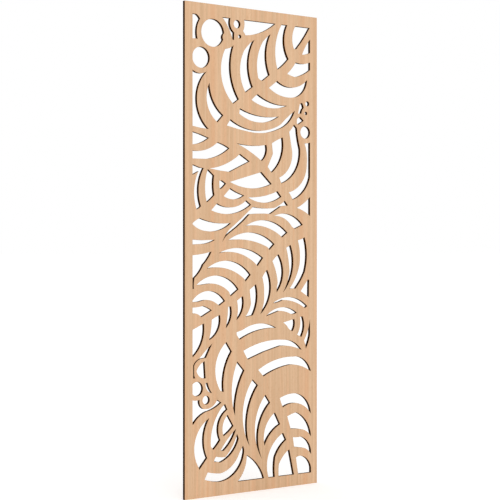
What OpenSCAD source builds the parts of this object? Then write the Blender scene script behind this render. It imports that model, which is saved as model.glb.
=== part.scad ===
/* [Sheet] */
// Width of the panel
panel_w = 400; // [320:5:480]
// Height of the panel
panel_h = 1170; // [940:10:1400]
// Thickness of the whole sheet
panel_t = 8; // [6:0.1:12]

/* [Plies] */
// Thickness of each face veneer
face_veneer_t = 0.8; // [0.4:0.1:1.2]
// Thickness of the core ply
core_t = 2.2; // [1.4:0.1:3]

/* [Border] */
// Plain border left along each upright edge
side_border = 22; // [16:1:32]
// Plain border left along the top and bottom edges
end_border = 28; // [20:1:40]
// Reach of the bottom right leaflets into the side border
leaflet_reach = 3; // [0:0.5:6]

/* [Curves] */
// Turn of a curved edge between two points of its outline, in degrees
curve_step = 5; // [3:1:12]
// Smallest gap in a circle's outline, in millimetres
circle_step = 1; // [0.5:0.5:2]

/* [Hidden] */
$fa = curve_step;
$fs = circle_step;

// The pattern is drawn on a board of this size, then stretched to the panel's
draw_w = 400;
draw_h = 1170;
grow = [panel_w / draw_w, panel_h / draw_h];
round_grow = min(grow[0], grow[1]);

crossband_t = (panel_t - 2 * face_veneer_t - core_t) / 2;
front_y = -panel_t / 2;

// A drawn point, moved to its place on the panel
function spot(p) = [p[0] * grow[0], p[1] * grow[1]];

// Points along the curved side from a to b. The bow is how far it swells to its left of the way from a to b
function side_points(a, b, bow) =
    let (way = b - a, chord = norm(way), along = way / chord, left = [-along[1], along[0]])
    let (half_turn = 2 * atan(2 * abs(bow) / chord), r = chord / (2 * sin(half_turn)))
    let (steps = max(2, ceil(2 * half_turn / curve_step)), middle = (a + b) / 2)
    [for (i = [0:steps - 1])
        let (turn = half_turn * (2 * i / steps - 1))
        middle + along * r * sin(turn) + left * sign(bow) * r * (cos(turn) - cos(half_turn))];

// One side of an opening: its first corner alone where it is straight
function side(corner, next) =
    let (a = spot(corner), b = spot(next), drawn = norm([next[0] - corner[0], next[1] - corner[1]]))
    corner[2] == 0 ? [a] : side_points(a, b, corner[2] * norm(b - a) / drawn);

// One opening. Each corner is [across, up, bow], clockwise as seen from the front. The bow is how far the
// side that starts at that corner swells out of the opening, or into it where the bow is negative
module opening(corners) {
    last = len(corners) - 1;
    polygon([for (i = [0:last]) each side(corners[i], corners[i == last ? 0 : i + 1])]);
}

// One round opening
module round_opening(middle, r) {
    translate(spot(middle))
    circle(r * round_grow);
}

// Curled leaf tips in the top left corner
module top_left_curls() {
    opening([[15, 1150, 0], [28, 1143, 2.5], [43.5, 1131.5, -5.5], [36.5, 1083.5, -1.5],
        [15, 1081, 0]]);
    difference() {
        round_opening([80.1, 1101.8], 33.2);
        round_opening([119.6, 1094.8], 11);
    }
    round_opening([46.2, 1041], 25);
    opening([[106, 1144, 0], [134, 1146, -7.5], [143, 1108.5, 0], [142.5, 1090.5, 0],
        [138.5, 1090.5, -4]]);
    round_opening([151.5, 1129.5], 10);
    round_opening([159.3, 1100.3], 4.7);
    opening([[18, 1013, -7.5], [62.5, 1008.5, -31], [68.5, 872.5, 1], [18, 878.5, 0]]);
    opening([[70.5, 982.5, -10], [111, 907.5, 0], [94, 890, 18.5]]);
}

// Upright leaflets that fan out below the top border
module top_fan() {
    opening([[172, 1144, 0], [271.5, 1144, 7.5], [177.5, 1105, 0], [169.5, 1114.5, -3]]);
    opening([[141.5, 1077.5, -16], [157, 949, 0], [140, 937, 23], [116.5, 1067, -2]]);
    opening([[204, 1096.5, -15.5], [199, 981.5, 0], [177, 966.5, 14.5], [173, 1068, 2]]);
    opening([[253.5, 1115, -12], [250.5, 1014.5, 0], [228.5, 998.5, 1], [215.5, 1004.5, 10],
        [230, 1095, 1]]);
    opening([[289, 1144, 0], [306.5, 1144, -12], [309.5, 1058.5, 1.5], [275, 1029.5, 13.5]]);
    opening([[332, 1144, 0], [378, 1144, 2], [333.5, 1085, 0], [326.5, 1085, 8]]);
    opening([[380, 1115.5, 0], [380, 1080, 1], [352.5, 1073, 2.5]]);
    opening([[332, 1052, -4], [380, 1056.5, 0], [380, 1038, 3], [330, 1015.5, 1], [305.5, 1022, -1.5]]);
}

// Long leaflets that reach right from the upper rib
module upper_right_rows() {
    opening([[248.5, 983, 0], [274, 1002, -18], [368.5, 1011.5, 10], [330.5, 965.5, 9]]);
    opening([[195, 950, 0.5], [213.5, 965.5, -7.5], [305, 942.5, 12.5]]);
    opening([[158, 914.5, 0], [160, 927.5, -9], [279.5, 914.5, 18]]);
    opening([[121.5, 884, 0], [132, 899.5, -21], [284, 894.5, 1.5], [329.5, 931.5, 7],
        [284, 885.5, 6.5], [189.5, 872, 1]]);
}

// Berries at the right border
module berries() {
    opening([[344, 945, 2], [352, 952.5, 1], [357.5, 941, -1.5], [350, 925.5, 0], [339.5, 925.5, 0]]);
    round_opening([369, 951.5], 6.2);
    round_opening([364.6, 927.2], 4.2);
    opening([[336, 911.5, 1], [347, 917.5, 0], [357.5, 908.5, 0], [340.5, 898, 0], [335.5, 900.5, 0]]);
    round_opening([362.4, 879.5], 15.5);
}

// Leaflets that hang right of the middle rib
module middle_right_fan() {
    opening([[150, 843, -4], [240.5, 842.5, 7], [226, 803, -2.5]]);
    opening([[257.5, 847.5, 1], [291, 863.5, 14.5], [256.5, 775.5, 0], [244.5, 789, 0],
        [260.5, 822, 0]]);
    opening([[311.5, 878.5, -1], [326.5, 897.5, 0], [336, 889, -1.5], [346, 838, 19.5],
        [286.5, 750, 0], [280.5, 764, -12.5], [321, 829, 0]]);
    opening([[360, 852.5, -1.5], [380, 856, 0], [380, 795.5, 18.5], [322, 710.5, -1],
        [310, 728.5, -16.5], [367.5, 801, -3.5]]);
    opening([[336, 690.5, -2.5], [380, 721, 0], [380, 669.5, -2.5]]);
}

// Leaflets that reach left to the border from the middle rib
module middle_left_rows() {
    opening([[18, 865.5, 1], [69, 851.5, 4], [18, 834, 0]]);
    opening([[18, 820.5, -9], [94, 842.5, 1.5], [129, 829.5, 5.5], [59.5, 801.5, 0], [18, 801, 0]]);
    opening([[160.5, 817.5, 0], [189.5, 800.5, 0], [129.5, 773, 1], [72, 779.5, -7]]);
    opening([[130.5, 749, 0], [225.5, 776, 0], [257, 747.5, 13]]);
    opening([[184.5, 713.5, -5], [275, 730.5, 0], [287, 717, 14]]);
}

// Short leaflets of the left rib
module left_sprig() {
    opening([[18, 788.5, 0], [45, 780, 0], [54, 779.5, -10.5], [46, 689, 1], [33.5, 681.5, 8.5],
        [36, 766, 0], [39.5, 771.5, 0], [18, 760.5, 0]]);
    opening([[65, 776.5, 0], [67.5, 776.5, 0], [84, 763, -2.5], [85, 716.5, 1], [62.5, 698.5, 6]]);
    opening([[99, 751, 0.5], [108, 751.5, 0], [119, 745, 1], [102, 730.5, 0], [99.5, 735, 0]]);
    opening([[112, 714.5, 0], [131.5, 734, -1.5], [173, 717.5, 8.5]]);
    opening([[75.5, 680, 0], [92.5, 697, -13.5], [179, 706, 0], [194, 695.5, 15]]);
    opening([[21, 647.5, 1.5], [43, 661, -5.5], [134, 650.5, 7.5], [62.5, 630.5, 4]]);
}

// The long gap over the lower frond, and the frond's upper leaflets
module lower_frond_top() {
    opening([[108, 604.5, 2], [128.5, 634.5, -1], [199.5, 690.5, -2.5], [265, 689, -1.5],
        [297.5, 707.5, 0], [307.5, 696, 0], [285.5, 693.5, 0], [252.5, 674, -1.5], [189.5, 672.5, 2],
        [129, 626.5, -2]]);
    opening([[264.5, 669.5, 15], [354.5, 648.5, 0], [329, 638, 0], [320, 643.5, -8]]);
    opening([[176.5, 643.5, 22], [306, 628.5, 0], [288.5, 616.5, 0], [282.5, 622, -10.5]]);
    opening([[125.5, 609, 23.5], [265.5, 600, 0], [250, 586, 0], [243.5, 593, -8.5]]);
    opening([[97, 578, 18], [230.5, 566.5, 0], [213.5, 546.5, 0], [206.5, 553, -13]]);
    opening([[63, 541.5, 26], [192.5, 525.5, 0], [177, 509.5, 0], [172.5, 516.5, -12.5]]);
    opening([[33, 503, 27.5], [156, 491, 0], [132.5, 474.5, 0], [128.5, 484.5, -8.5], [60, 505, 0.5]]);
    opening([[19.5, 463.5, 25], [116, 463.5, 0], [99, 453, 0], [90.5, 458.5, -4.5], [49, 466, 1.5]]);
    opening([[18, 450, -1], [52, 453.5, 1], [77.5, 442.5, 0], [47, 427, -4], [18, 436, 0]]);
    opening([[18, 610.5, -1.5], [87, 610, 2], [50, 600, 0], [18, 598.5, 0]]);
    opening([[18, 573, -1.5], [76.5, 582, 2], [53, 551.5, 2.5], [27.5, 520, -1], [25.5, 494, 0],
        [18, 494, 0]]);
}

// The lower frond's under leaflets
module lower_frond_underside() {
    opening([[18, 396, 0], [54.5, 412, 11.5], [23, 334, 0], [18, 334, 0]]);
    opening([[77.5, 420.5, 0.5], [101, 431, 12.5], [69.5, 372, -1.5]]);
    opening([[125, 449.5, 0], [133.5, 450.5, 8], [118, 398.5, -1.5]]);
    opening([[151.5, 463.5, 0.5], [169, 474.5, 10], [149.5, 417, -3.5]]);
    opening([[189.5, 489.5, 0], [208.5, 502.5, 8.5], [199, 427.5, 0.5], [176.5, 424.5, -2.5],
        [193.5, 456, 0]]);
    opening([[228, 519, 1], [242.5, 537.5, 21], [221.5, 429, -4], [233.5, 478, -2]]);
    opening([[259, 558.5, 0.5], [277.5, 575.5, 17.5], [272, 481.5, 1], [275.5, 505, -3]]);
    opening([[302, 591.5, -0.5], [315.5, 598.5, 19], [292, 481, -3], [312.5, 532, -2]]);
    opening([[339, 610, -1], [360.5, 617.5, 7], [361, 531, 2], [331, 489.5, -1], [312, 489, -4.5],
        [344.5, 550.5, -3.5]]);
    opening([[348, 483, 0], [371, 512, 0], [375, 511, 0], [374, 467.5, 0]]);
}

// Small crescents between the two lower fronds
module right_sprig() {
    opening([[260, 455, 18.5], [369, 445.5, 0], [361.5, 440.5, -5.5], [292, 462.5, 1.5]]);
    opening([[239, 423.5, 17.5], [335.5, 430, 1.5], [317, 427, -2], [280, 436, 0]]);
    opening([[292.5, 406.5, 0], [327.5, 414.5, 4], [322, 384.5, 2], [306, 396, -1]]);
    opening([[345.5, 419, 0], [354, 420.5, 7], [350, 369, 0], [336.5, 375, -5]]);
    opening([[379.5, 434, 0], [380, 434, 0], [380, 395, 4], [364.5, 339, -1], [358.5, 359.5, -5.5]]);
}

// The bottom frond's leaflets right of its rib
module bottom_frond_right() {
    opening([[150, 387.5, 0], [168, 392.5, 13], [271, 394.5, -8], [159.5, 369.5, 0], [151, 380.5, 0]]);
    opening([[170.5, 342, 9], [300, 363.5, 6.5], [351, 336.5, -3.5], [285, 350, -2],
        [183.5, 320.5, 0]]);
    opening([[215.5, 293.5, 8.5], [325, 321, 12.5], [380.5, 281.5, -5], [315, 302, -4], [231.5, 277, 0]]);
    opening([[282, 220.5, 3], [330, 229.5, 13.5], [380.5, 175.5, -5.5], [335.5, 205, -4],
        [291.5, 197, 0.5]]);
    opening([[305.5, 174, 1], [333.5, 182, 12], [381, 118, -3.5], [352, 138.5, -1], [316, 142.5, 0]]);
    opening([[323, 121, -1], [348, 120.5, 10.5], [381, 74, -3], [356.5, 92, 0], [327, 97, 0]]);
    opening([[333, 69.5, 1.5], [349.5, 72.5, 11.5], [381, 26, 0], [340, 26, 0]]);
}

// The bottom frond's leaflets left of its rib
module bottom_frond_left() {
    opening([[120, 365.5, 0], [136, 342, -9.5], [112, 246, 0], [102.5, 249.5, 23]]);
    opening([[152.5, 317, 0], [173.5, 294.5, -8.5], [145.5, 186.5, 13]]);
    opening([[198.5, 271.5, 0], [214.5, 256.5, -19], [189, 110.5, 25]]);
    opening([[237.5, 232, 0], [252, 211.5, -23.5], [227, 75.5, 27]]);
    opening([[267, 186.5, 0], [283, 156.5, -6.5], [234.5, 107.5, 14]]);
    opening([[292.5, 134.5, 0], [302, 116.5, -4], [267.5, 76, -2], [266.5, 26, 0], [248, 26, 4],
        [244.5, 77, 8]]);
    opening([[308, 90, 0], [312, 91, 0], [327, 26, 0], [278.5, 26, 1], [279, 57.5, 3]]);
}

// Curls and short leaflets in the bottom left corner
module bottom_left_curls() {
    opening([[41, 329, 1], [79, 364, 0], [60.5, 330.5, 0], [44, 328.5, -2.5], [26.5, 313, 0],
        [26.5, 291, 0], [29.5, 283.5, 0], [23.8, 283.5, 0], [23.8, 314, 2.5]]);
    opening([[56.5, 322.5, 0], [59.5, 282, 6], [33.5, 300, 3.5]]);
    round_opening([34.5, 258], 17);
    opening([[59.5, 270.5, 0.5], [65, 271, -1.5], [77.5, 246, 6.5]]);
    round_opening([60.8, 230], 10.3);
    opening([[20, 232.5, -1.5], [42, 232, -4.5], [53.5, 209.5, -0.5], [68.5, 209.5, -3.5],
        [93, 229, 0], [105, 221.5, 3], [60.5, 202.5, -3.5], [24.5, 175.5, 0], [20, 174, 0]]);
    opening([[107, 210.5, 0], [116, 217.5, 0], [123, 203.5, -15], [102, 132, 1], [81.5, 110.5, 0],
        [74.5, 119, 10]]);
    opening([[70.5, 187, -13], [64, 92.5, 0], [41.5, 67, 0], [40.5, 71, 27]]);
    opening([[123.5, 191, 0], [141, 163, 1.5], [111.5, 140.5, 8]]);
    opening([[149, 156, 4.5], [112.5, 106, 0.5], [103, 107, 2.5]]);
    opening([[151.5, 143.5, 0], [156.5, 131.5, 10], [101, 78.5, -1.5], [84.5, 81, 2], [90, 93.5, -1],
        [117, 90.5, -4.5]]);
    opening([[169, 113, 1], [173, 99.5, 19.5], [98, 33, 1.5], [56.5, 42, 0], [65.5, 58.5, -1],
        [102.5, 52.5, -9], [158, 95.5, 0]]);
    opening([[180.5, 89.5, 8.5], [234, 26, 0], [151, 26, -8]]);
}

// The openings that the border trims, drawn a little past it where they meet it
module pattern() {
    top_left_curls();
    top_fan();
    upper_right_rows();
    berries();
    middle_right_fan();
    middle_left_rows();
    left_sprig();
    lower_frond_top();
    lower_frond_underside();
    right_sprig();
    bottom_frond_left();
    bottom_left_curls();
}

// The field inside the border, let out by reach on its right
module field(reach) {
    translate([side_border, end_border])
    square([panel_w - 2 * side_border + reach, panel_h - 2 * end_border]);
}

// The pierced outline: the border trims the pattern to a straight edge
module fretwork() {
    difference() {
        square([panel_w, panel_h]);
        intersection() {
            field(0);
            pattern();
        }
        intersection() {
            field(leaflet_reach);
            bottom_frond_right();
        }
    }
}

// One ply, with its front at depth y
module ply(y, thickness) {
    translate([-panel_w / 2, y + thickness, 0])
    rotate([90, 0, 0])
    linear_extrude(thickness)
    fretwork();
}

module front_face_veneer() {
    color("#DCB491") ply(front_y, face_veneer_t);
}

module front_crossband() {
    color("#C79A72") ply(front_y + face_veneer_t, crossband_t);
}

module core_ply() {
    color("#D8B088") ply(-core_t / 2, core_t);
}

module back_crossband() {
    color("#C79A72") ply(core_t / 2, crossband_t);
}

module back_face_veneer() {
    color("#DCB491") ply(-front_y - face_veneer_t, face_veneer_t);
}

front_face_veneer();
front_crossband();
core_ply();
back_crossband();
back_face_veneer();
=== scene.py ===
"""Looks of the fretwork wood panel: five laser-cut plies, a plain studio and the photograph's view."""

import logging
import math
from dataclasses import dataclass
from enum import Enum
from typing import Any

import bpy
from mathutils import Matrix, Vector

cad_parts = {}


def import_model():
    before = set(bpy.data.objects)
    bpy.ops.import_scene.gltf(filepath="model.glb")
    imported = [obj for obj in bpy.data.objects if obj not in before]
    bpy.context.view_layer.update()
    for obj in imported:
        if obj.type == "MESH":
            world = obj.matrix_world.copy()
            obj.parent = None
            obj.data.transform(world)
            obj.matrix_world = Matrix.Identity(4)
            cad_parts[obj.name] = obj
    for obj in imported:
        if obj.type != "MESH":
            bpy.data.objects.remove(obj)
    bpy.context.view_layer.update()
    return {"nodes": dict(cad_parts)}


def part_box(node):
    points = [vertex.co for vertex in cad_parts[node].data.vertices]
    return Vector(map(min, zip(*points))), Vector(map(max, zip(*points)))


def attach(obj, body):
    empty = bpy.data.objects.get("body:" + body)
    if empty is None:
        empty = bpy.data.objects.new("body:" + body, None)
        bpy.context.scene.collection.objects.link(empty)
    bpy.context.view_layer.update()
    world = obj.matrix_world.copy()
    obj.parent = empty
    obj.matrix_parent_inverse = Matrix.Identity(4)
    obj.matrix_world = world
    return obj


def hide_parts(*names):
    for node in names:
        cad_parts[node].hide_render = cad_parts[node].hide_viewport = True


LOG = logging.getLogger("fretwork_panel")
MM = 0.001
SCORCH = "scorch"
WHITE = "#FFFFFF"
# The numbers of a Mix node's two colour inputs and of its colour output
FIRST_COLOUR, SECOND_COLOUR, MIXED_COLOUR = 6, 7, 2
Colour = tuple[float, float, float, float]
Pair = tuple[float, float]
Triple = tuple[float, float, float]


def linear(hex_colour: str) -> Colour:
    """Turns an sRGB hex colour into linear light.

    Args:
        hex_colour: Six hex digits after a hash sign.

    Returns:
        Red, green, blue and an alpha of one, linear.
    """
    parts = [int(hex_colour[i : i + 2], 16) / 255 for i in (1, 3, 5)]
    low_part, low_slope, offset, power = 0.04045, 12.92, 0.055, 2.4
    light = [
        c / low_slope if c <= low_part else ((c + offset) / (1 + offset)) ** power
        for c in parts
    ]
    return (light[0], light[1], light[2], 1.0)


def add_node(
    tree: bpy.types.NodeTree,
    kind: str,
    inputs: dict[int | str, Any] | None = None,
    **settings: Any,
) -> bpy.types.Node:
    """Adds one node, with its settings, its values and its links.

    Args:
        tree: The tree that gets the node.
        kind: The node's type name.
        inputs: For an input's name or number, a value or the output socket that feeds it.
        **settings: The node's own properties.

    Returns:
        The new node.
    """
    node = tree.nodes.new(kind)
    for name, value in settings.items():
        setattr(node, name, value)
    for key, value in (inputs or {}).items():
        if isinstance(value, bpy.types.NodeSocket):
            tree.links.new(value, node.inputs[key])
        else:
            node.inputs[key].default_value = value
    return node


class Grain(Enum):
    """The way a ply's grain runs, in the row frame."""

    UPRIGHT = (0.0, 0.0, 1.0)
    ACROSS = (1.0, 0.0, 0.0)


class Shown(Enum):
    """The side of a face veneer that shows, as the sign of its normal along Y."""

    FRONT = -1.0
    BACK = 1.0


@dataclass(frozen=True)
class WoodTone:
    """Colours and scales of a bare, sanded birch veneer.

    To the eye it is a matt, even tan. Fine straight grain runs through it in slow streaks, narrow
    bands and short fibres, with a pinkish blush here and there and small darker pores.

    Attributes:
        dark: The tone of the darkest bands.
        middle: The tone between them.
        light: The tone of the palest bands.
        ruddy: The blush.
        pore: The pores.
        streak: A streak's width across the grain and length along it, in millimetres.
        blush: The same of a blush.
        band: The same of a band.
        fibre: The same of a fibre.
        pore_size: The same of a pore.
        sway: The same of one slow bend of the grain.
        meander: How far the grain bends aside, in millimetres.
        shares: The parts that streaks, bands and fibres have in the tone.
        stops: Where the dark, middle and light tones lie on that sum.
        blush_range: The mark strength at which a blush begins and is full.
        blush_most: How much of the colour a full blush takes.
        pore_range: The mark strength at which a pore begins and is full.
        pore_most: How much of the colour a full pore takes.
        roughness: The roughness of the sanded face.
    """

    dark: str = "#CFAA86"
    middle: str = "#D9B592"
    light: str = "#E5C09C"
    ruddy: str = "#DFAF88"
    pore: str = "#B78760"
    streak: Pair = (34.0, 3200.0)
    blush: Pair = (12.0, 700.0)
    band: Pair = (7.5, 1100.0)
    fibre: Pair = (1.2, 95.0)
    pore_size: Pair = (0.55, 9.0)
    sway: Pair = (60.0, 420.0)
    meander: float = 12.0
    shares: Triple = (0.14, 0.6, 0.26)
    stops: Triple = (0.36, 0.5, 0.64)
    blush_range: Pair = (0.45, 0.7)
    blush_most: float = 0.7
    pore_range: Pair = (0.6, 0.72)
    pore_most: float = 0.45
    roughness: float = 0.62


@dataclass(frozen=True)
class CharTone:
    """Colours and scales of birch charred by a laser.

    To the eye it is a dead matt soot-brown, ribbed across the thickness by the beam, a little
    browner where it runs along the grain and near black in the glue lines.

    Attributes:
        soot: The tone between the ribs.
        brown: The tone of the ribs.
        long_grain: The tone that comes in where the cut runs along the grain.
        glue: The glue lines.
        rib: A rib's width, in millimetres.
        patch: The size of a sootier patch, in millimetres.
        glue_line: The part of a glue line that lies in this ply, in millimetres.
        burn_range: The mark strength at which the brown begins and is full.
        long_most: How much of the colour the long grain takes.
        glue_most: How much of the colour a glue line takes.
        roughness: The roughness of the char.
    """

    soot: str = "#281103"
    brown: str = "#3A1C02"
    long_grain: str = "#442303"
    glue: str = "#180B03"
    rib: float = 0.7
    patch: float = 14.0
    glue_line: float = 0.09
    burn_range: Pair = (0.12, 0.4)
    long_most: float = 0.5
    glue_most: float = 0.8
    roughness: float = 1.0


@dataclass(frozen=True)
class SmokeStain:
    """The brown smoke stain that a laser leaves on bare wood along its cut.

    Attributes:
        tone: Its colour.
        patch: The size of its patches, in millimetres.
        patch_range: The mark strength at which a patch begins and is full.
        least: How strong it stays between the patches.
    """

    tone: str = "#AB815B"
    patch: float = 5.556
    patch_range: Pair = (0.3, 0.7)
    least: float = 0.35


@dataclass(frozen=True)
class LaserCutBirch:
    """One ply's material: birch, sanded on its flat sides and charred where the laser cut it.

    Attributes:
        node: The CAD node of the ply, which the material is named after.
        grain: The way that the grain runs.
        shift: Moves the grain pattern, in metres, so that no two plies look alike.
        wood: The sanded veneer.
        char: The cut edge.
        stain: The haze beside a cut.
        flat_above: The share of Y in a flat side's normal, at least.
        relief: The strength of the small relief.
        relief_height: Its height, in metres.
    """

    node: str
    grain: Grain
    shift: Triple
    wood: WoodTone = WoodTone()
    char: CharTone = CharTone()
    stain: SmokeStain = SmokeStain()
    flat_above: float = 0.7
    relief: float = 0.25
    relief_height: float = 0.15 * MM

    def _marks(
        self,
        tree: bpy.types.NodeTree,
        place: bpy.types.NodeSocket,
        size: Triple,
        detail: float = 2.0,
    ) -> bpy.types.NodeSocket:
        """Scatters soft marks of a real size over the ply.

        Args:
            tree: The material's tree.
            place: The point that the marks are read at.
            size: A mark's size along X, Y and Z, in millimetres.
            detail: How many finer layers the marks have.

        Returns:
            How strong the marks are, from zero to one.
        """
        per_metre = tuple(1 / (side * MM) for side in size)
        stretched = add_node(
            tree, "ShaderNodeVectorMath", {0: place, 1: per_metre}, operation="MULTIPLY"
        )
        noise = add_node(
            tree,
            "ShaderNodeTexNoise",
            {"Vector": stretched.outputs[0], "Scale": 1.0, "Detail": detail},
        )
        return noise.outputs["Fac"]

    def _along_grain(self, size: Pair) -> Triple:
        """Turns a mark's width and length on the grain into its size along X, Y and Z."""
        width, length = size
        return (width, width, length) if self.grain is Grain.UPRIGHT else (length, width, width)

    def _bent(
        self, tree: bpy.types.NodeTree, place: bpy.types.NodeSocket
    ) -> bpy.types.NodeSocket:
        """Bends the grain gently aside.

        Args:
            tree: The material's tree.
            place: The point on the ply.

        Returns:
            The point that the grain is read at.
        """
        sway = self._marks(tree, place, self._along_grain(self.wood.sway), detail=1.0)
        centred = add_node(tree, "ShaderNodeMath", {0: sway, 1: 0.5}, operation="SUBTRACT")
        aside = add_node(
            tree,
            "ShaderNodeMath",
            {0: centred.outputs[0], 1: self.wood.meander * MM},
            operation="MULTIPLY",
        )
        return add_node(
            tree, "ShaderNodeVectorMath", {0: place, 1: aside.outputs[0]}, operation="ADD"
        ).outputs[0]

    def _sanded(
        self, tree: bpy.types.NodeTree, place: bpy.types.NodeSocket
    ) -> tuple[bpy.types.NodeSocket, bpy.types.NodeSocket]:
        """Builds bare veneer: full-height streaks, finer bands, fibres and short pores.

        Args:
            tree: The material's tree.
            place: The point on the ply.

        Returns:
            The colour, and a height from the fibres and pores.
        """
        wood = self.wood
        bent = self._bent(tree, place)
        streak = self._marks(tree, bent, self._along_grain(wood.streak), detail=3.0)
        band = self._marks(tree, bent, self._along_grain(wood.band))
        fibre = self._marks(tree, bent, self._along_grain(wood.fibre))
        pore = self._marks(tree, bent, self._along_grain(wood.pore_size), detail=1.0)
        total: bpy.types.NodeSocket | float = 0.0
        for part, share in zip((streak, band, fibre), wood.shares):
            total = add_node(
                tree,
                "ShaderNodeMath",
                {0: part, 1: share, 2: total},
                operation="MULTIPLY_ADD",
            ).outputs[0]
        ramp = add_node(tree, "ShaderNodeValToRGB", {0: total})
        first, last = ramp.color_ramp.elements
        first.color, last.color = linear(wood.dark), linear(wood.light)
        first.position, middle_stop, last.position = wood.stops
        ramp.color_ramp.elements.new(middle_stop).color = linear(wood.middle)
        warmth = self._marks(tree, bent, self._along_grain(wood.blush))
        blush = add_node(
            tree,
            "ShaderNodeMapRange",
            {
                "Value": warmth,
                "From Min": wood.blush_range[0],
                "From Max": wood.blush_range[1],
                "To Max": wood.blush_most,
            },
        ).outputs[0]
        tone = add_node(
            tree,
            "ShaderNodeMix",
            {0: blush, FIRST_COLOUR: ramp.outputs["Color"], SECOND_COLOUR: linear(wood.ruddy)},
            data_type="RGBA",
        ).outputs[MIXED_COLOUR]
        pit = add_node(
            tree,
            "ShaderNodeMapRange",
            {
                "Value": pore,
                "From Min": wood.pore_range[0],
                "From Max": wood.pore_range[1],
                "To Max": wood.pore_most,
            },
        ).outputs[0]
        colour = add_node(
            tree,
            "ShaderNodeMix",
            {0: pit, FIRST_COLOUR: tone, SECOND_COLOUR: linear(wood.pore)},
            data_type="RGBA",
        ).outputs[MIXED_COLOUR]
        height = add_node(
            tree, "ShaderNodeMath", {0: fibre, 1: pit}, operation="SUBTRACT"
        ).outputs[0]
        return colour, height

    def _smoked(
        self,
        tree: bpy.types.NodeTree,
        place: bpy.types.NodeSocket,
        wood: bpy.types.NodeSocket,
    ) -> bpy.types.NodeSocket:
        """Lays the patchy smoke stain over bare wood where the mesh is marked for it.

        Args:
            tree: The material's tree.
            place: The point on the ply.
            wood: The bare wood's colour.

        Returns:
            The stained wood's colour.
        """
        stain = self.stain
        haze = add_node(tree, "ShaderNodeAttribute", attribute_name=SCORCH).outputs["Fac"]
        uneven = self._marks(tree, place, (stain.patch,) * 3)
        patchy = add_node(
            tree,
            "ShaderNodeMapRange",
            {
                "Value": uneven,
                "From Min": stain.patch_range[0],
                "From Max": stain.patch_range[1],
                "To Min": stain.least,
            },
        ).outputs[0]
        amount = add_node(
            tree, "ShaderNodeMath", {0: haze, 1: patchy}, operation="MULTIPLY"
        ).outputs[0]
        return add_node(
            tree,
            "ShaderNodeMix",
            {0: amount, FIRST_COLOUR: wood, SECOND_COLOUR: linear(stain.tone)},
            data_type="RGBA",
        ).outputs[MIXED_COLOUR]

    def _charred(
        self,
        tree: bpy.types.NodeTree,
        place: bpy.types.NodeSocket,
        plain: bpy.types.NodeSocket,
        normal: bpy.types.NodeSocket,
    ) -> tuple[bpy.types.NodeSocket, bpy.types.NodeSocket]:
        """Builds the cut edge: beam ribs, sooty patches, browner long grain and dark glue lines.

        Args:
            tree: The material's tree.
            place: The shifted point on the ply.
            plain: The point in the row frame.
            normal: The face's direction in the row frame.

        Returns:
            The colour, and a height from the ribs.
        """
        char = self.char
        low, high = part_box(self.node)
        middle_y, half = (low.y + high.y) / 2, (high.y - low.y) / 2
        rib = self._marks(tree, place, (char.rib, char.patch, char.rib), detail=1.0)
        patch = self._marks(tree, place, (char.patch,) * 3)
        burn = add_node(
            tree, "ShaderNodeMath", {0: rib, 1: patch}, operation="MULTIPLY"
        ).outputs[0]
        ribs = add_node(
            tree,
            "ShaderNodeMapRange",
            {"Value": burn, "From Min": char.burn_range[0], "From Max": char.burn_range[1]},
        ).outputs[0]
        burnt = add_node(
            tree,
            "ShaderNodeMix",
            {0: ribs, FIRST_COLOUR: linear(char.soot), SECOND_COLOUR: linear(char.brown)},
            data_type="RGBA",
        ).outputs[MIXED_COLOUR]
        end_grain = add_node(
            tree,
            "ShaderNodeVectorMath",
            {0: normal, 1: self.grain.value},
            operation="DOT_PRODUCT",
        ).outputs["Value"]
        end_amount = add_node(
            tree, "ShaderNodeMath", {0: end_grain}, operation="ABSOLUTE"
        ).outputs[0]
        long_amount = add_node(
            tree,
            "ShaderNodeMapRange",
            {"Value": end_amount, "To Min": char.long_most, "To Max": 0.0},
        ).outputs[0]
        grained = add_node(
            tree,
            "ShaderNodeMix",
            {0: long_amount, FIRST_COLOUR: burnt, SECOND_COLOUR: linear(char.long_grain)},
            data_type="RGBA",
        ).outputs[MIXED_COLOUR]
        through = add_node(tree, "ShaderNodeSeparateXYZ", {0: plain}).outputs["Y"]
        from_middle = add_node(
            tree, "ShaderNodeMath", {0: through, 1: middle_y}, operation="SUBTRACT"
        ).outputs[0]
        depth = add_node(
            tree, "ShaderNodeMath", {0: from_middle}, operation="ABSOLUTE"
        ).outputs[0]
        glue = add_node(
            tree,
            "ShaderNodeMapRange",
            {
                "Value": depth,
                "From Min": half - char.glue_line * MM,
                "From Max": half,
                "To Max": char.glue_most,
            },
        ).outputs[0]
        colour = add_node(
            tree,
            "ShaderNodeMix",
            {0: glue, FIRST_COLOUR: grained, SECOND_COLOUR: linear(char.glue)},
            data_type="RGBA",
        ).outputs[MIXED_COLOUR]
        return colour, rib

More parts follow.
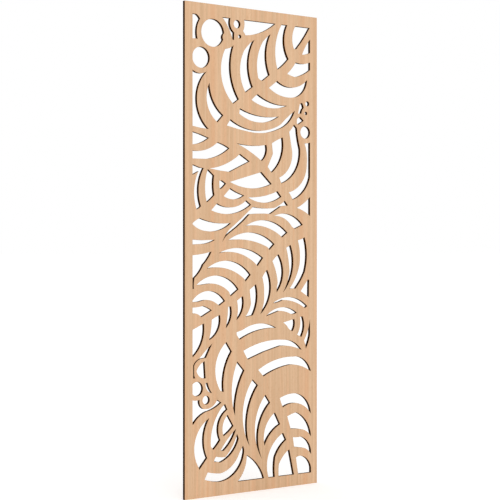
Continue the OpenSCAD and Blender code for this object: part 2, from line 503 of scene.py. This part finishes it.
    def build(self) -> bpy.types.Material:
        """Builds the material.

        Returns:
            The new material.
        """
        material = bpy.data.materials.new(f"laser_cut_birch_{self.node}")
        material.use_nodes = True
        tree = material.node_tree
        tree.nodes.clear()
        coords = add_node(tree, "ShaderNodeTexCoord").outputs
        plain, normal = coords["Object"], coords["Normal"]
        place = add_node(
            tree, "ShaderNodeVectorMath", {0: plain, 1: self.shift}, operation="ADD"
        ).outputs[0]
        bare, wood_height = self._sanded(tree, place)
        wood = self._smoked(tree, place, bare)
        char, char_height = self._charred(tree, place, plain, normal)
        facing = add_node(tree, "ShaderNodeSeparateXYZ", {0: normal}).outputs["Y"]
        flat = add_node(tree, "ShaderNodeMath", {0: facing}, operation="ABSOLUTE").outputs[0]
        cut = add_node(
            tree, "ShaderNodeMath", {0: flat, 1: self.flat_above}, operation="LESS_THAN"
        ).outputs[0]
        colour = add_node(
            tree,
            "ShaderNodeMix",
            {0: cut, FIRST_COLOUR: wood, SECOND_COLOUR: char},
            data_type="RGBA",
        ).outputs[MIXED_COLOUR]
        roughness = add_node(
            tree,
            "ShaderNodeMapRange",
            {"Value": cut, "To Min": self.wood.roughness, "To Max": self.char.roughness},
        ).outputs[0]
        height = add_node(
            tree, "ShaderNodeMix", {"Factor": cut, "A": wood_height, "B": char_height}
        ).outputs["Result"]
        bump = add_node(
            tree,
            "ShaderNodeBump",
            {"Height": height, "Strength": self.relief, "Distance": self.relief_height},
        ).outputs[0]
        # Neither sanded wood nor char has a gloss, so the shine is left out.
        shader = add_node(
            tree,
            "ShaderNodeBsdfPrincipled",
            {
                "Base Color": colour,
                "Roughness": roughness,
                "Specular IOR Level": 0.0,
                "Normal": bump,
            },
        )
        add_node(tree, "ShaderNodeOutputMaterial", {"Surface": shader.outputs[0]})
        return material


@dataclass(frozen=True)
class ScorchedFace:
    """Geometry Nodes that give a veneer's shown side a scorched, faintly eased rim along every cut.

    Lengths are in metres.

    Attributes:
        rim: How far the smoke stain reaches from a cut.
        ease: How far the rim falls away at the cut itself.
        longest: The longest reach at a sharp corner, as a share of rim.
        smooth_below: The turn between two cut facets, in radians, that still looks round.
        flat_above: The share of Y in a flat side's normal, at least.
        slack: How far the share of shown faces at a rim edge may be from a half.
        least: The length below which a vector counts as none.
    """

    rim: float = 0.7 * MM
    ease: float = 0.08 * MM
    longest: float = 1.2
    smooth_below: float = math.radians(28)
    flat_above: float = 0.5
    slack: float = 0.1
    least: float = 1e-4

    def _inputs(self, tree: bpy.types.NodeTree) -> dict[str, str]:
        """Gives the node group its named inputs and its output.

        Args:
            tree: The node group.

        Returns:
            Each input's socket identifier by its name.
        """
        sockets: dict[str, str] = {}
        for name, kind in (
            ("Geometry", "NodeSocketGeometry"),
            ("Shown side", "NodeSocketFloat"),
            ("Rim", "NodeSocketFloat"),
            ("Ease", "NodeSocketFloat"),
            ("Material", "NodeSocketMaterial"),
        ):
            item = tree.interface.new_socket(name, in_out="INPUT", socket_type=kind)
            sockets[name] = item.identifier
        tree.interface.new_socket("Geometry", in_out="OUTPUT", socket_type="NodeSocketGeometry")
        return sockets

    def _ways_in(
        self,
        tree: bpy.types.NodeTree,
        geometry: bpy.types.NodeSocket,
        is_shown: bpy.types.NodeSocket,
        normal: bpy.types.NodeSocket,
        facing: bpy.types.NodeSocket,
    ) -> tuple[bpy.types.NodeSocket, bpy.types.NodeSocket]:
        """Works out, for each corner of the rim, the way from the cut into the wood.

        Args:
            tree: The node group.
            geometry: The closed veneer.
            is_shown: Whether a face is on the shown side.
            normal: A face's normal.
            facing: Its share of Y.

        Returns:
            The geometry, and at each corner the sum of its two rim edges' ways in.
        """
        flat = add_node(tree, "ShaderNodeMath", {0: facing}, operation="ABSOLUTE").outputs[0]
        is_wall = add_node(
            tree, "ShaderNodeMath", {0: flat, 1: self.flat_above}, operation="LESS_THAN"
        ).outputs[0]
        wall_way = add_node(
            tree, "ShaderNodeVectorMath", {0: normal, "Scale": is_wall}, operation="SCALE"
        ).outputs[0]
        faces = add_node(tree, "GeometryNodeCaptureAttribute", domain="FACE")
        faces.capture_items.new("FLOAT", "shown")
        faces.capture_items.new("VECTOR", "wall")
        tree.links.new(geometry, faces.inputs["Geometry"])
        tree.links.new(is_shown, faces.inputs["shown"])
        tree.links.new(wall_way, faces.inputs["wall"])
        # A rim edge has one shown face and one cut face, so there the share of shown faces is a half.
        rim_edge = add_node(
            tree,
            "ShaderNodeMath",
            {0: faces.outputs["shown"], 1: 0.5, 2: self.slack},
            operation="COMPARE",
        ).outputs[0]
        # The mean over the two faces halves the cut face's normal, which points out of the wood.
        doubled_back = add_node(
            tree, "ShaderNodeMath", {0: rim_edge, 1: -2.0}, operation="MULTIPLY"
        ).outputs[0]
        inwards = add_node(
            tree,
            "ShaderNodeVectorMath",
            {0: faces.outputs["wall"], "Scale": doubled_back},
            operation="SCALE",
        ).outputs[0]
        edges = add_node(tree, "GeometryNodeCaptureAttribute", domain="EDGE")
        edges.capture_items.new("VECTOR", "inwards")
        tree.links.new(faces.outputs["Geometry"], edges.inputs["Geometry"])
        tree.links.new(inwards, edges.inputs["inwards"])
        # The mean over a corner's edges, times their number, is the sum of its two rim edges' ways.
        count = add_node(tree, "GeometryNodeInputMeshVertexNeighbors").outputs["Vertex Count"]
        both = add_node(
            tree,
            "ShaderNodeVectorMath",
            {0: edges.outputs["inwards"], "Scale": count},
            operation="SCALE",
        ).outputs[0]
        return edges.outputs["Geometry"], both

    def _stepped(
        self,
        tree: bpy.types.NodeTree,
        geometry: bpy.types.NodeSocket,
        both: bpy.types.NodeSocket,
        rim: bpy.types.NodeSocket,
    ) -> bpy.types.Node:
        """Keeps at each corner the step that its inset takes, and whether it is on the rim.

        Args:
            tree: The node group.
            geometry: The closed veneer.
            both: The sum of a corner's two ways in, each of length one.
            rim: The rim's width.

        Returns:
            The node whose outputs are Geometry, step and on rim.
        """
        size = add_node(
            tree, "ShaderNodeVectorMath", {0: both}, operation="LENGTH"
        ).outputs["Value"]
        # The inset's sides stay parallel to the cut where the step is two over the sum's length.
        mitre = add_node(
            tree, "ShaderNodeMath", {0: 2.0, 1: size}, operation="DIVIDE"
        ).outputs[0]
        reach = add_node(
            tree, "ShaderNodeMath", {0: mitre, 1: self.longest}, operation="MINIMUM"
        ).outputs[0]
        length = add_node(
            tree, "ShaderNodeMath", {0: reach, 1: rim}, operation="MULTIPLY"
        ).outputs[0]
        way = add_node(tree, "ShaderNodeVectorMath", {0: both}, operation="NORMALIZE").outputs[0]
        step = add_node(
            tree, "ShaderNodeVectorMath", {0: way, "Scale": length}, operation="SCALE"
        ).outputs[0]
        on_rim = add_node(
            tree, "ShaderNodeMath", {0: size, 1: self.least}, operation="GREATER_THAN"
        ).outputs[0]
        corners = add_node(tree, "GeometryNodeCaptureAttribute", domain="POINT")
        corners.capture_items.new("VECTOR", "step")
        corners.capture_items.new("FLOAT", "on rim")
        tree.links.new(geometry, corners.inputs["Geometry"])
        tree.links.new(step, corners.inputs["step"])
        tree.links.new(on_rim, corners.inputs["on rim"])
        return corners

    def _eased(
        self,
        tree: bpy.types.NodeTree,
        corners: bpy.types.Node,
        is_shown: bpy.types.NodeSocket,
        given: bpy.types.NodeOutputs,
    ) -> bpy.types.NodeSocket:
        """Insets the shown side by each corner's step, lets the cut fall away and marks it.

        Args:
            tree: The node group.
            corners: The node that gives the geometry, the steps and what is on the rim.
            is_shown: Whether a face is on the shown side.
            given: The group's inputs.

        Returns:
            The geometry with its rim.
        """
        raised = add_node(
            tree,
            "GeometryNodeExtrudeMesh",
            {
                "Mesh": corners.outputs["Geometry"],
                "Selection": is_shown,
                "Offset Scale": 0.0,
                "Individual": False,
            },
        )
        inset = add_node(
            tree,
            "GeometryNodeSetPosition",
            {
                "Geometry": raised.outputs["Mesh"],
                "Selection": raised.outputs["Top"],
                "Offset": corners.outputs["step"],
            },
        )
        fall = add_node(
            tree, "ShaderNodeMath", {0: given["Ease"], 1: given["Shown side"]}, operation="MULTIPLY"
        ).outputs[0]
        inward_fall = add_node(
            tree, "ShaderNodeMath", {0: fall, 1: -1.0}, operation="MULTIPLY"
        ).outputs[0]
        drop = add_node(tree, "ShaderNodeCombineXYZ", {"Y": inward_fall}).outputs[0]
        not_top = add_node(
            tree, "FunctionNodeBooleanMath", {0: raised.outputs["Top"]}, operation="NOT"
        ).outputs[0]
        at_cut = add_node(
            tree,
            "FunctionNodeBooleanMath",
            {0: not_top, 1: corners.outputs["on rim"]},
            operation="AND",
        ).outputs[0]
        eased = add_node(
            tree,
            "GeometryNodeSetPosition",
            {"Geometry": inset.outputs[0], "Selection": at_cut, "Offset": drop},
        )
        return add_node(
            tree,
            "GeometryNodeStoreNamedAttribute",
            {"Geometry": eased.outputs[0], "Name": SCORCH, "Value": at_cut},
            data_type="FLOAT",
            domain="POINT",
        ).outputs[0]

    def _shaded(
        self, tree: bpy.types.NodeTree, geometry: bpy.types.NodeSocket
    ) -> bpy.types.NodeSocket:
        """Shades round cuts smooth and keeps their corners crisp.

        Args:
            tree: The node group.
            geometry: The veneer with its rim.

        Returns:
            The shaded geometry.
        """
        angle = add_node(tree, "GeometryNodeInputMeshEdgeAngle").outputs["Unsigned Angle"]
        crisp = add_node(
            tree, "ShaderNodeMath", {0: angle, 1: self.smooth_below}, operation="GREATER_THAN"
        ).outputs[0]
        cornered = add_node(
            tree,
            "GeometryNodeSetShadeSmooth",
            {"Geometry": geometry, "Selection": crisp, "Shade Smooth": False},
            domain="EDGE",
        )
        return add_node(
            tree,
            "GeometryNodeSetShadeSmooth",
            {"Geometry": cornered.outputs[0], "Shade Smooth": True},
            domain="FACE",
        ).outputs[0]

    def _tree(self) -> tuple[bpy.types.NodeTree, dict[str, str]]:
        """Builds the node group.

        Returns:
            The group, and each named input's socket identifier.
        """
        tree = bpy.data.node_groups.new("scorched_face", "GeometryNodeTree")
        sockets = self._inputs(tree)
        given = add_node(tree, "NodeGroupInput").outputs
        normal = add_node(tree, "GeometryNodeInputNormal").outputs["Normal"]
        facing = add_node(tree, "ShaderNodeSeparateXYZ", {0: normal}).outputs["Y"]
        towards = add_node(
            tree, "ShaderNodeMath", {0: facing, 1: given["Shown side"]}, operation="MULTIPLY"
        ).outputs[0]
        is_shown = add_node(
            tree, "ShaderNodeMath", {0: towards, 1: self.flat_above}, operation="GREATER_THAN"
        ).outputs[0]
        geometry, both = self._ways_in(tree, given["Geometry"], is_shown, normal, facing)
        corners = self._stepped(tree, geometry, both, given["Rim"])
        shaded = self._shaded(tree, self._eased(tree, corners, is_shown, given))
        real = add_node(tree, "GeometryNodeRealizeInstances", {"Geometry": shaded})
        dressed = add_node(
            tree,
            "GeometryNodeSetMaterial",
            {"Geometry": real.outputs[0], "Material": given["Material"]},
        )
        add_node(tree, "NodeGroupOutput", {"Geometry": dressed.outputs[0]})
        return tree, sockets

    def bake(
        self, name: str, source: bpy.types.Mesh, side: Shown, material: bpy.types.Material
    ) -> bpy.types.Object:
        """Runs the nodes on a closed veneer mesh and keeps the result as plain mesh.

        Args:
            name: The new piece's name.
            source: The veneer as a closed mesh, in the row frame.
            side: The side that shows.
            material: The veneer's material.

        Returns:
            The new piece, with no modifier left on it.
        """
        tree, sockets = self._tree()
        piece = bpy.data.objects.new(name, source)
        bpy.context.scene.collection.objects.link(piece)
        modifier = piece.modifiers.new("scorched_face", "NODES")
        modifier.node_group = tree
        modifier[sockets["Shown side"]] = side.value
        modifier[sockets["Rim"]] = self.rim
        modifier[sockets["Ease"]] = self.ease
        modifier[sockets["Material"]] = material
        graph = bpy.context.evaluated_depsgraph_get()
        baked = bpy.data.meshes.new_from_object(
            piece.evaluated_get(graph), preserve_all_data_layers=True, depsgraph=graph
        )
        piece.modifiers.remove(modifier)
        piece.data = baked
        return piece


@dataclass
class InnerPly:
    """A crossband or the core: the CAD node itself, in its own charred wood.

    Attributes:
        node: The CAD node.
        grain: The way that the ply's grain runs.
        shift: Moves the grain pattern, in metres.
        wood: The ply's bare wood.
    """

    node: str
    grain: Grain
    shift: Triple
    wood: WoodTone

    def build(self, nodes: dict[str, bpy.types.Object]) -> bpy.types.Object:
        """Gives the CAD node its material.

        Args:
            nodes: The CAD nodes by name.

        Returns:
            The CAD node.
        """
        material = LaserCutBirch(self.node, self.grain, self.shift, self.wood).build()
        ply = nodes[self.node]
        for place in ply.material_slots:
            place.material = material
        return ply


@dataclass
class FaceVeneer:
    """An outer ply with upright grain, whose shown side has a scorched rim along each cut.

    Attributes:
        node: The CAD node that the veneer stands for.
        slot: The record's material slot; not used.
        side: The side that shows.
        shift: Moves the grain pattern, in metres.
        rims: The rim along the cuts.
        join_grid: The grid on which corners are one and the same, in cells to the metre.
    """

    node: str
    slot: str
    side: Shown
    shift: Triple
    rims: ScorchedFace = ScorchedFace()
    join_grid: float = 1e6

    def _closed_copy(self, node: bpy.types.Object) -> bpy.types.Mesh:
        """Copies the CAD mesh with its loose triangles joined at their corners.

        Args:
            node: The CAD node.

        Returns:
            The closed mesh.
        """
        places: dict[tuple[int, int, int], int] = {}
        corners: list[Vector] = []
        joined: list[int] = []
        for vertex in node.data.vertices:
            key = tuple(round(c * self.join_grid) for c in vertex.co)
            if key not in places:
                places[key] = len(corners)
                corners.append(vertex.co.copy())
            joined.append(places[key])
        faces = [[joined[i] for i in face.vertices] for face in node.data.polygons]
        kept = [face for face in faces if len(set(face)) == len(face)]
        mesh = bpy.data.meshes.new(f"{self.node}_closed")
        mesh.from_pydata(corners, [], kept)
        mesh.update()
        return mesh

    def build(self, nodes: dict[str, bpy.types.Object]) -> bpy.types.Object:
        """Builds the veneer that stands for the CAD node.

        Args:
            nodes: The CAD nodes by name.

        Returns:
            The new piece.
        """
        closed = self._closed_copy(nodes[self.node])
        material = LaserCutBirch(self.node, Grain.UPRIGHT, self.shift).build()
        piece = self.rims.bake(f"{self.node}_scorched", closed, self.side, material)
        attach(piece, "root")
        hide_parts(self.node)
        return piece


@dataclass
class PhotoCamera:
    """The photograph's view, from the panel's front left at half its height.

    Attributes:
        place: The camera's place in the row frame, in metres.
        way: The level direction that it looks in, as X and Y.
        focal_pixels: The focal length in pixels of the 500 pixel wide photograph.
        frame_pixels: The photograph's width.
        sensor: The sensor's width, in millimetres.
        seen: The nearest and the farthest distance that it sees, in metres.
    """

    place: Triple = (-1.980, -2.6508, 0.5857)
    way: Pair = (0.597, 0.802)
    focal_pixels: float = 1361.0
    frame_pixels: float = 500.0
    sensor: float = 36.0
    seen: Pair = (0.05, 400.0)

    def build(self) -> bpy.types.Object:
        """Adds the camera and makes it the scene's.

        Returns:
            The camera.
        """
        data = bpy.data.cameras.new("photo_camera")
        data.sensor_width = self.sensor
        data.lens = self.focal_pixels / self.frame_pixels * self.sensor
        data.clip_start, data.clip_end = self.seen
        camera = bpy.data.objects.new("photo_camera", data)
        bpy.context.scene.collection.objects.link(camera)
        ahead = Vector((*self.way, 0.0)).normalized()
        up = Vector((0.0, 0.0, 1.0))
        right = ahead.cross(up)
        turn = Matrix((right, up, -ahead)).transposed().to_4x4()
        camera.matrix_world = Matrix.Translation(self.place) @ turn
        bpy.context.scene.camera = camera
        return camera


@dataclass
class Studio:
    """A plain pale floor, even light from all round and one large soft light.

    Attributes:
        floor_size: The floor's side, in metres, so long that its far edge lies on the horizon.
        floor_colour: The floor's matt paint.
        floor_glow: What the camera sees on top of the paint, so that the floor reaches white.
        sky: The strength of the even light.
        key: The soft light's power in watts.
        key_place: Where the soft light is.
        key_aim: The point that it shines at, the panel's middle.
        key_size: The soft light's side, in metres.
    """

    floor_size: float = 300.0
    floor_colour: str = "#FAFAFA"
    floor_glow: float = 0.29
    sky: float = 0.78
    key: float = 396.0
    key_place: Triple = (-5.0, -9.0, 1.9)
    key_aim: Triple = (0.0, 0.0, 0.6)
    key_size: float = 5.8

    def _seen(self, tree: bpy.types.NodeTree) -> bpy.types.NodeSocket:
        """Adds what is one for a ray from the camera, a reflection or glass, and else zero.

        Args:
            tree: The tree that gets the nodes.

        Returns:
            The one or zero.
        """
        path = add_node(tree, "ShaderNodeLightPath").outputs
        total = path["Is Camera Ray"]
        for name in ("Is Glossy Ray", "Is Transmission Ray"):
            total = add_node(
                tree, "ShaderNodeMath", {0: total, 1: path[name]}, operation="MAXIMUM"
            ).outputs[0]
        return total

    def _paint(self) -> bpy.types.Material:
        """Mixes the floor's matt white paint, which fades into the backdrop and shows soft shadows.

        Returns:
            The paint.
        """
        paint = bpy.data.materials.new("matt_floor_paint")
        paint.use_nodes = True
        tree = paint.node_tree
        tree.nodes.clear()
        glow = add_node(
            tree,
            "ShaderNodeMath",
            {0: self._seen(tree), 1: self.floor_glow},
            operation="MULTIPLY",
        ).outputs[0]
        shader = add_node(
            tree,
            "ShaderNodeBsdfPrincipled",
            {
                "Base Color": linear(self.floor_colour),
                "Roughness": 1.0,
                "Specular IOR Level": 0.0,
                "Emission Color": linear(WHITE),
                "Emission Strength": glow,
            },
        )
        add_node(tree, "ShaderNodeOutputMaterial", {"Surface": shader.outputs[0]})
        return paint

    def _floor(self) -> None:
        """Lays the floor."""
        half = self.floor_size / 2
        corners = [(x * half, y * half, 0.0) for x, y in ((-1, -1), (1, -1), (1, 1), (-1, 1))]
        mesh = bpy.data.meshes.new("studio_floor")
        mesh.from_pydata(corners, [], [(0, 1, 2, 3)])
        mesh.materials.append(self._paint())
        floor = bpy.data.objects.new("studio_floor", mesh)
        bpy.context.scene.collection.objects.link(floor)

    def _world(self) -> None:
        """Lights the scene evenly, with pure white behind it for the camera."""
        world = bpy.data.worlds.new("studio_world")
        bpy.context.scene.world = world
        world.use_nodes = True
        tree = world.node_tree
        tree.nodes.clear()
        strength = add_node(
            tree,
            "ShaderNodeMapRange",
            {"Value": self._seen(tree), "To Min": self.sky, "To Max": 1.0},
        ).outputs[0]
        sky = add_node(
            tree, "ShaderNodeBackground", {"Color": linear(WHITE), "Strength": strength}
        )
        add_node(tree, "ShaderNodeOutputWorld", {"Surface": sky.outputs[0]})

    def _key(self) -> None:
        """Adds the large soft light."""
        data = bpy.data.lights.new("soft_key", "AREA")
        data.energy, data.size = self.key, self.key_size
        light = bpy.data.objects.new("soft_key", data)
        bpy.context.scene.collection.objects.link(light)
        place = Vector(self.key_place)
        turn = (Vector(self.key_aim) - place).to_track_quat("-Z", "Y").to_matrix().to_4x4()
        light.matrix_world = Matrix.Translation(place) @ turn

    def build(self) -> None:
        """Builds the floor, the world and the light."""
        self._floor()
        self._world()
        self._key()
        bpy.context.scene.view_settings.view_transform = "Standard"


def main() -> None:
    """Builds the plies, the studio and the camera, in that order."""
    logging.basicConfig(level=logging.INFO, format="%(message)s")
    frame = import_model()
    nodes = frame["nodes"]
    pale = WoodTone(dark="#CDAE8C", middle="#DCC3A2", light="#E8D5B8", streak=(34.0, 1800.0))
    plies = (
        InnerPly("core_ply", Grain.UPRIGHT, shift=(3.1, 0.7, 1.3), wood=pale),
        InnerPly("front_crossband", Grain.ACROSS, shift=(7.3, 2.9, 4.4), wood=pale),
        InnerPly("back_crossband", Grain.ACROSS, shift=(9.1, 5.3, 2.2), wood=pale),
        FaceVeneer("front_face_veneer", "face_veneer", Shown.FRONT, shift=(1.7, 4.1, 6.2)),
        FaceVeneer("back_face_veneer", "face_veneer", Shown.BACK, shift=(12.4, 8.6, 3.5)),
    )
    for ply in plies:
        piece = ply.build(nodes)
        LOG.info("built %s with %d faces", piece.name, len(piece.data.polygons))
    Studio().build()
    PhotoCamera().build()


if __name__ == "__main__":
    main()
